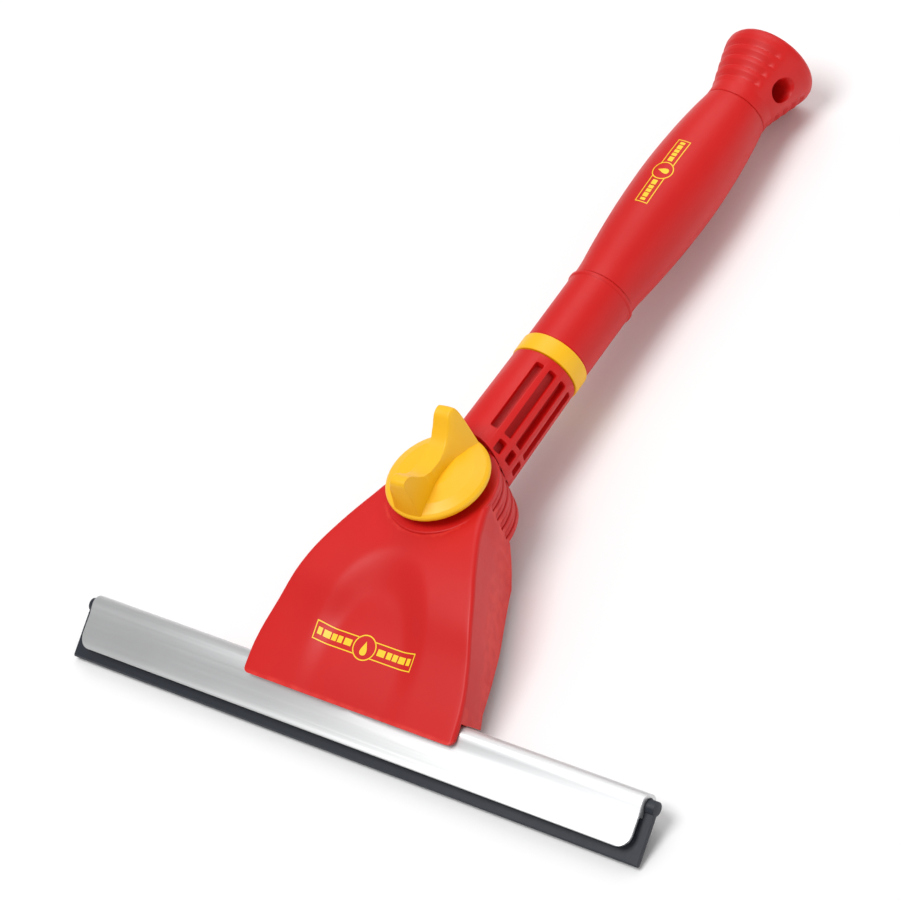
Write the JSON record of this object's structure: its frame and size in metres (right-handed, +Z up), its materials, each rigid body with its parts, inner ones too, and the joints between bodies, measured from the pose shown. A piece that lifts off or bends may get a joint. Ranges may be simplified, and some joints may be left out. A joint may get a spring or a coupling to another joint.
{
  "type": "window squeegee",
  "caption": "Window squeegee with a rubber blade in an aluminium rail, a swivelling head locked by a wing knob and a pull-off handle.",
  "frame": {"origin": "centre of the bounding box's bottom, on the surface the tool lies on", "axes": "+X along the blade, +Y from the blade towards the handle's end, +Z up, the side of the wing knob"},
  "size_m": [0.25, 0.3158, 0.0629],
  "materials": {
    "red_plastic": "satin moulded",
    "yellow_plastic": "satin moulded",
    "blade_rubber": "matt",
    "rail_aluminium": "satin anodised",
    "zinc_steel": "zinc plated",
    "yellow_print": "printed"
  },
  "bodies": {
    "head": {"squeegee_body": "red_plastic", "rail_clamp": "red_plastic", "clamp_screw_1": "zinc_steel", "clamp_screw_2": "zinc_steel", "aluminium_rail": "rail_aluminium", "rubber_blade": "blade_rubber", "pivot_bolt": "zinc_steel", "tooth_ring": "red_plastic", "split_spring_washer": "zinc_steel", "thrust_washer": "zinc_steel"},
    "knob": {"wing_knob": "yellow_plastic", "knob_nut": "zinc_steel"},
    "neck": {"neck": "red_plastic", "collar_ring": "yellow_plastic", "snap_ring": "zinc_steel"},
    "handle": {"handle_barrel": "red_plastic", "core_tube": "rail_aluminium", "grip": "red_plastic", "end_cap": "red_plastic"}
  },
  "joints": [
    {"name": "head_swivel", "type": "hinge", "parent": "head", "child": "neck", "pos_m": [0, -0.06642, 0.03056], "axis": [0, 0.0509, 0.9987], "range_deg": [-50, 50]},
    {"name": "knob_turn", "type": "hinge", "parent": "head", "child": "knob", "pos_m": [0, -0.06642, 0.03056], "axis": [0, 0.0509, 0.9987], "range_deg": [0, 540]},
    {"name": "handle_pull_off", "type": "slide", "parent": "neck", "child": "handle", "axis": [0, 0.9987, -0.0509], "range_m": [0, 0.045]}
  ]
}
